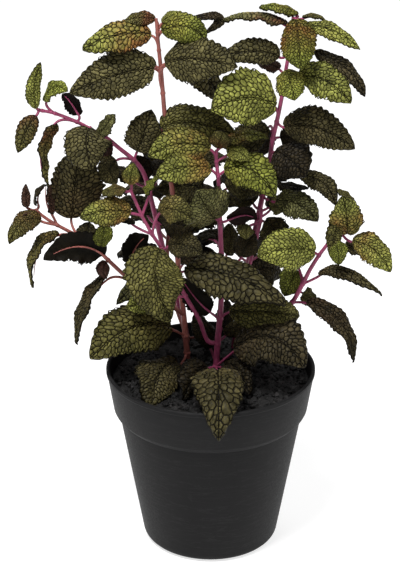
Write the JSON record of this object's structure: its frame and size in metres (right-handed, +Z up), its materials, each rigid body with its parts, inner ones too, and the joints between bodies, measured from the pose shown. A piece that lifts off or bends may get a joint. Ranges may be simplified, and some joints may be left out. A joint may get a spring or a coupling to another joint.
{
  "type": "potted mint plant",
  "caption": "Bushy potted mint: leafy stems of toothed leaves in opposite pairs, rising from dark potting soil in a round tapered nursery pot.",
  "frame": {"origin": "centre of the pot's flat base, on the surface that it stands on", "axes": "+Z up along the pot's axis, -Y towards the viewer of the picture, +X to the viewer's right"},
  "size_m": [0.2204, 0.1762, 0.3317],
  "materials": {
    "pot_plastic": "satin",
    "potting_soil": "matte",
    "mint_leaf": "satin"
  },
  "bodies": {
    "root": {"pot": "pot_plastic", "soil": "potting_soil", "stem_left_tall": "mint_leaf", "stem_centre": "mint_leaf", "stem_upper_left": "mint_leaf", "stem_right_tall": "mint_leaf", "stem_right_low": "mint_leaf", "stem_back_left": "mint_leaf"}
  },
  "joints": []
}
